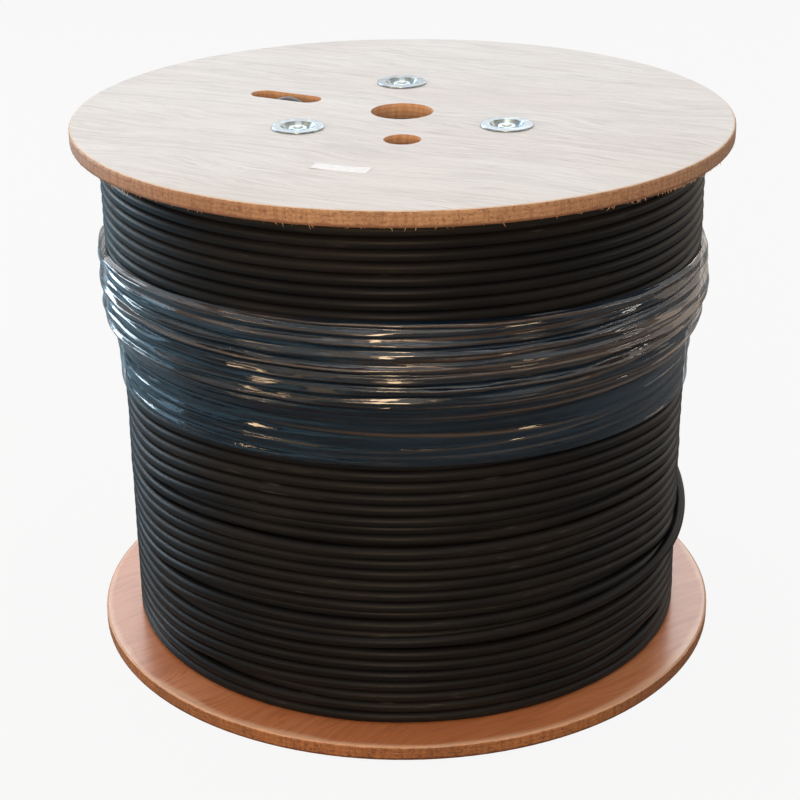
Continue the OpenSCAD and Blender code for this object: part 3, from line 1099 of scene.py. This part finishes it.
def board_finish():
    """Brown tube board, wound on a slant."""
    made, tree, shader = new_finish("tube_board", 0.8, 0.25)
    place = object_place(tree)
    parts = parts_of(tree, place)
    around = calc(tree, "DIVIDE", calc(tree, "ARCTAN2", parts["Y"], parts["X"]), math.tau)
    slant = plus(tree, times(tree, parts["Z"], 1 / BOARD_STRIP), around)
    seam = ramp(tree, calc(tree, "PINGPONG", slant, 0.5), 0.0, 0.03, 0.6, 0.0)
    fibre = speckle(tree, place, (300.0, 300.0, 300.0), 3.0)
    shares = [(fibre, (0.38, 0.27, 0.17, 1)), (seam, (0.12, 0.075, 0.045, 1))]
    feed(tree, shader.inputs["Base Color"], overlay(tree, (0.26, 0.17, 0.10, 1), shares))
    relief(tree, shader, fibre, 0.3, 0.2 * MM)
    return made


recoat("barrel", board_finish())


# Torn fibres: fine slivers that the saw left along an arris, held within this share of the rim's radius
SLIVER_HOLD = 0.9985


def make_sliver_tree():
    """Geometry tree: slivers scattered along an arc of an arris, each a thin pointed splint."""
    inputs = [
        ("Count", WHOLE, 100), ("Rim Radius", NUMBER, 0.2), ("Arris Height", NUMBER, 0.3),
        ("Arc Middle", NUMBER, 0.0), ("Arc Spread", NUMBER, 1.0), ("Length", NUMBER, 0.003),
        ("Thickness", NUMBER, 0.00025), ("Seed", WHOLE, 1), ("Finish", FINISH, None),
    ]
    tree, source, sink = new_group("torn_slivers", "GeometryNodeTree", inputs, [("Slivers", SHAPE)])
    sizes = source.outputs

    def chance(low, high, step):
        sockets = {2: low, 3: high, "Seed": plus(tree, sizes["Seed"], step)}
        return put(tree, "FunctionNodeRandomValue", sockets, data_type="FLOAT").outputs[1]

    points = put(tree, "GeometryNodePoints", {"Count": sizes["Count"]})
    lean = times(tree, chance(-1.0, 1.0, 1.0), calc(tree, "ABSOLUTE", chance(-1.0, 1.0, 2.0)))
    angle = plus(tree, sizes["Arc Middle"], times(tree, lean, sizes["Arc Spread"]))
    reach = minus(tree, sizes["Rim Radius"], chance(0.3 * MM, 1.6 * MM, 3.0))
    spot = round_axis(tree, reach, angle, plus(tree, sizes["Arris Height"], chance(0.0, 0.9 * MM, 4.0)))
    placed = put(tree, "GeometryNodeSetPosition", {"Geometry": points.outputs[0], "Position": spot})
    splint = put(
        tree,
        "GeometryNodeMeshCone",
        {
            "Vertices": 5, "Radius Top": 0.02 * MM, "Radius Bottom": sizes["Thickness"],
            "Depth": sizes["Length"],
        },
    )
    turn = point(
        tree, chance(1.7, 2.9, 5.0), chance(-0.4, 0.4, 6.0), plus(tree, angle, chance(-0.6, 3.4, 7.0))
    )
    scattered = put(
        tree,
        "GeometryNodeInstanceOnPoints",
        {
            "Points": placed.outputs[0], "Instance": splint.outputs[0], "Rotation": turn,
            "Scale": chance(0.25, 1.0, 8.0),
        },
    )
    whole = put(tree, "GeometryNodeRealizeInstances", {0: scattered.outputs[0]})
    x, y, z = parts_of(tree, put(tree, "GeometryNodeInputPosition").outputs[0])
    out = calc(tree, "SQRT", plus(tree, times(tree, x, x), times(tree, y, y)))
    inside = times(tree, sizes["Rim Radius"], SLIVER_HOLD)
    share = calc(tree, "MINIMUM", calc(tree, "DIVIDE", inside, out), 1.0)
    held = point(tree, times(tree, x, share), times(tree, y, share), z)
    kept = put(tree, "GeometryNodeSetPosition", {"Geometry": whole.outputs[0], "Position": held})
    coated = put(tree, "GeometryNodeSetMaterial", {0: kept.outputs[0], "Material": sizes["Finish"]})
    feed(tree, sink.inputs["Slivers"], coated.outputs[0])
    return tree


def sliver_finish():
    """Pale raw wood fibre."""
    made, tree, shader = new_finish("torn_fibre", 0.8, 0.2)
    fleck = speckle(tree, object_place(tree), (700.0, 700.0, 700.0))
    feed(tree, shader.inputs["Base Color"], tint(tree, fleck, (0.40, 0.19, 0.08, 1), (0.80, 0.60, 0.42, 1)))
    return made


SLIVER_TREE = make_sliver_tree()
SLIVER = sliver_finish()
# Arcs: name, middle, spread to each side, count
SLIVER_ARCS = [
    ("front_right", 318, 26, 150), ("front", 268, 60, 60), ("left", 215, 30, 45), ("back", 80, 110, 120),
]
for number, (name, middle, spread, count) in enumerate(SLIVER_ARCS):
    slivers = {
        "Count": count, "Rim Radius": FLANGE_R, "Arris Height": UPPER_IN_Z, "Length": 2.6 * MM,
        "Arc Middle": math.radians(middle), "Arc Spread": math.radians(spread), "Thickness": 0.22 * MM,
        "Seed": 40 + number, "Finish": SLIVER,
    }
    settle(grow("torn_fibres_" + name, SLIVER_TREE, slivers), "plywood")


# Label: a bare stuck-on strip on the upper flange

def label_finish():
    """White label stock with a little handling grey."""
    made, tree, shader = new_finish("label_stock", 0.45, 0.4)
    grey = speckle(tree, object_place(tree), (260.0, 260.0, 260.0), 3.0)
    colour = tint(tree, ramp(tree, grey, 0.4, 0.7), (0.79, 0.80, 0.82, 1), (0.72, 0.73, 0.75, 1))
    feed(tree, shader.inputs["Base Color"], colour)
    relief(tree, shader, grey, 0.1, 0.1 * MM)
    return made


LABEL_LENGTH = 33 * MM
LABEL_WIDTH = 10 * MM
LABEL_PLACE = (-34 * MM, -122 * MM)
LABEL_TURN = math.radians(-20.5)


def label_strip():
    """The strip follows the face, with one corner a little lifted."""
    across, along = 7, 19
    thickness = 0.12 * MM
    outline = []
    for row in range(across):
        for column in range(along):
            u = column / (along - 1) - 0.5
            v = row / (across - 1) - 0.5
            lifted = max(0.0, u + v - 0.62) * 1.6 * MM + max(0.0, -u - v - 0.70) * 1.0 * MM
            outline.append((u * LABEL_LENGTH, v * LABEL_WIDTH, lifted))
    place = Matrix.Translation((*LABEL_PLACE, UPPER_OUT_Z + 0.03 * MM)) @ Matrix.Rotation(LABEL_TURN, 4, "Z")
    low = [place @ Vector(p) for p in outline]
    high = [place @ (Vector(p) + Vector((0, 0, thickness))) for p in outline]
    count = len(low)
    faces = []
    for row in range(across - 1):
        for column in range(along - 1):
            a = row * along + column
            faces.append((a + count, a + 1 + count, a + along + 1 + count, a + along + count))
            faces.append((a, a + along, a + along + 1, a + 1))
    rim = list(range(along))
    rim += [row * along + along - 1 for row in range(1, across)]
    rim += [(across - 1) * along + column for column in range(along - 2, -1, -1)]
    rim += [row * along for row in range(across - 2, 0, -1)]
    for first, second in zip(rim, rim[1:] + rim[:1]):
        faces.append((first, second, second + count, first + count))
    return mesh_piece("bare_label", low + high, faces, label_finish(), smooth=False)


settle(label_strip(), "label")


# Floor, light and camera

def floor_finish():
    """Pale studio floor that keeps the drum's shadow; in reflections darker, with painted cool window light
    on the left and painted room light on the right.
    """
    made, tree, shader = new_finish("studio_floor", 0.9, 0.1)
    path = put(tree, "ShaderNodeLightPath").outputs
    across = parts_of(tree, object_place(tree))["X"]
    # Painted light seen only in reflections: cool window light on the left side, lighter room light on the
    # right.
    painted_window_light = ramp(tree, across, -0.60, -0.18, 1.0, 0.0)
    painted_room_light = ramp(tree, across, 0.18, 0.60)
    sides = [(painted_window_light, (0.29, 0.50, 0.66, 1)), (painted_room_light, (0.30, 0.33, 0.36, 1))]
    mirrored_with_painted_light = overlay(tree, (0.16, 0.16, 0.16, 1), sides)
    colour = tint(tree, path["Is Glossy Ray"], (0.32, 0.32, 0.32, 1), mirrored_with_painted_light)
    feed(tree, shader.inputs["Base Color"], colour)
    straight = calc(tree, "MAXIMUM", path["Is Camera Ray"], path["Is Transmission Ray"])
    seen = calc(tree, "MAXIMUM", straight, times(tree, path["Is Glossy Ray"], 0.02))
    glow = put(tree, "ShaderNodeEmission", {"Color": (1, 1, 1, 1), "Strength": 1.0})
    mixed = put(
        tree, "ShaderNodeMixShader",
        {0: times(tree, seen, 0.91), 1: shader.outputs[0], 2: glow.outputs[0]},
    )
    feed(tree, tree.nodes["Material Output"].inputs["Surface"], mixed.outputs[0])
    return made


def studio_floor():
    """A wide plane under the drum."""
    half = 14.0
    level = -0.05 * MM
    points = [(-half, -half, level), (half, -half, level), (half, half, level), (-half, half, level)]
    floor = mesh_piece("studio_floor", points, [(0, 1, 2, 3)], floor_finish(), smooth=False)


studio_floor()


def studio_world():
    """Soft surround, brighter at the back, where the pale backdrop stands; the background shows white."""
    world = bpy.data.worlds.new("studio")
    world.use_nodes = True
    tree = world.node_tree
    back = tree.nodes["Background"]
    path = put(tree, "ShaderNodeLightPath").outputs
    straight = calc(tree, "MAXIMUM", path["Is Camera Ray"], path["Is Transmission Ray"])
    toward = parts_of(tree, put(tree, "ShaderNodeTexCoord").outputs["Generated"])
    surround = ramp(tree, toward["Y"], -0.6, 0.7, 0.16, 0.55)
    shine = times(tree, path["Is Glossy Ray"], ramp(tree, toward["Y"], -0.3, 0.6, 0.0, 0.20))
    ceiling = times(tree, path["Is Glossy Ray"], ramp(tree, toward["Z"], 0.30, 0.60, 0.0, 0.75))
    level = plus(tree, surround, calc(tree, "MAXIMUM", shine, ceiling))
    white = calc(tree, "MAXIMUM", ramp(tree, toward["Y"], -0.5, 0.2), ramp(tree, toward["Z"], 0.45, 0.75))
    room = tint(tree, white, (1.0, 0.80, 0.60, 1), (1, 1, 1, 1))
    feed(tree, back.inputs["Color"], tint(tree, path["Is Glossy Ray"], (1, 1, 1, 1), room))
    feed(tree, back.inputs["Strength"], calc(tree, "MAXIMUM", level, straight))
    bpy.context.scene.world = world


studio_world()


WHITE = (1.0, 1.0, 1.0)
AIM = Vector((0, 0, 0.2))


def soft_lamp(name, azimuth, reach, height, size, power, colour=WHITE, shape="RECTANGLE", lights="all"):
    """A flat soft lamp around the drum that lights all faces, or only gloss, or only matt ones."""
    lamp = bpy.data.lights.new(name, "AREA")
    lamp.shape = shape
    lamp.size, lamp.size_y = size
    lamp.energy = power
    lamp.color = colour
    made = show(bpy.data.objects.new(name, lamp))
    turn = math.radians(azimuth)
    place = Vector((reach * math.cos(turn), reach * math.sin(turn), height))
    made.location = place
    made.rotation_euler = (AIM - place).to_track_quat("-Z", "Y").to_euler()
    made.visible_camera = False
    made.visible_diffuse = lights != "gloss"
    made.visible_glossy = lights != "matt"


soft_lamp("overhead_lamp", 90, 0.05, 2.1, (1.6, 1.9), 11)
soft_lamp("back_window", 98, 1.95, 1.36, (2.7, 0.85), 19, (0.95, 0.97, 1.0))
soft_lamp("left_window", 156, 1.9, 0.56, (1.7, 0.70), 10, (0.42, 0.74, 1.0), lights="gloss")
soft_lamp("left_fill", 165, 1.9, 0.60, (1.7, 0.80), 12, (1.0, 0.94, 0.86), lights="matt")
soft_lamp("left_window_pane", 149, 1.85, 0.56, (0.80, 0.30), 9, (0.86, 0.95, 1.0))
soft_lamp("right_room", 38, 2.2, 0.60, (2.4, 1.1), 8, (1.0, 0.76, 0.54))
soft_lamp("left_front_lamp", 217, 1.75, 0.64, (0.46, 0.20), 2.7, (1.0, 0.70, 0.42), "ELLIPSE")
soft_lamp("left_front_shade", 219, 1.80, 0.62, (0.60, 0.50), 2.4, (1.0, 0.68, 0.40), "ELLIPSE")
soft_lamp("front_lamp", 265, 1.75, 0.68, (0.28, 0.70), 9.0, (1.0, 0.72, 0.45), "ELLIPSE")
soft_lamp("front_shade", 265, 1.80, 0.64, (0.80, 0.56), 4.5, (1.0, 0.68, 0.40), "ELLIPSE")
soft_lamp("right_front_lamp", 312, 1.8, 0.62, (0.42, 0.16), 1.5, (1.0, 0.75, 0.46), "ELLIPSE")
soft_lamp("right_lamp", 352, 1.8, 0.60, (0.62, 0.16), 3.2, (0.94, 0.92, 0.86), "ELLIPSE")
soft_lamp("front_room", 255, 2.4, 0.75, (2.6, 0.9), 9, (1.0, 0.72, 0.47))
soft_lamp("front_ceiling", 268, 2.1, 1.75, (1.7, 1.1), 5, (1.0, 0.95, 0.88))


# Camera: lens in millimetres on a 36 mm sensor, place in metres, and turns in radians
CAMERA_LENS = 84.6
CAMERA_PLACE = (0.0, -1.11585, 0.62361)
LOOK_DOWN = 0.4071
LOOK_ASIDE = 0.0025
CAMERA_LEAN = -0.0090


def photo_camera():
    """The camera at the photograph's place and angle."""
    lens = bpy.data.cameras.new("camera")
    lens.sensor_width = 36.0
    lens.lens = CAMERA_LENS
    lens.clip_start = 0.01
    lens.clip_end = 100.0
    camera = show(bpy.data.objects.new("camera", lens))
    turn = (
        Matrix.Rotation(math.pi / 2 - LOOK_DOWN, 4, "X")
        @ Matrix.Rotation(LOOK_ASIDE, 4, "Y")
        @ Matrix.Rotation(CAMERA_LEAN, 4, "Z")
    )
    camera.matrix_world = Matrix.Translation(CAMERA_PLACE) @ turn
    bpy.context.scene.camera = camera


photo_camera()
bpy.context.scene.view_settings.view_transform = "Standard"
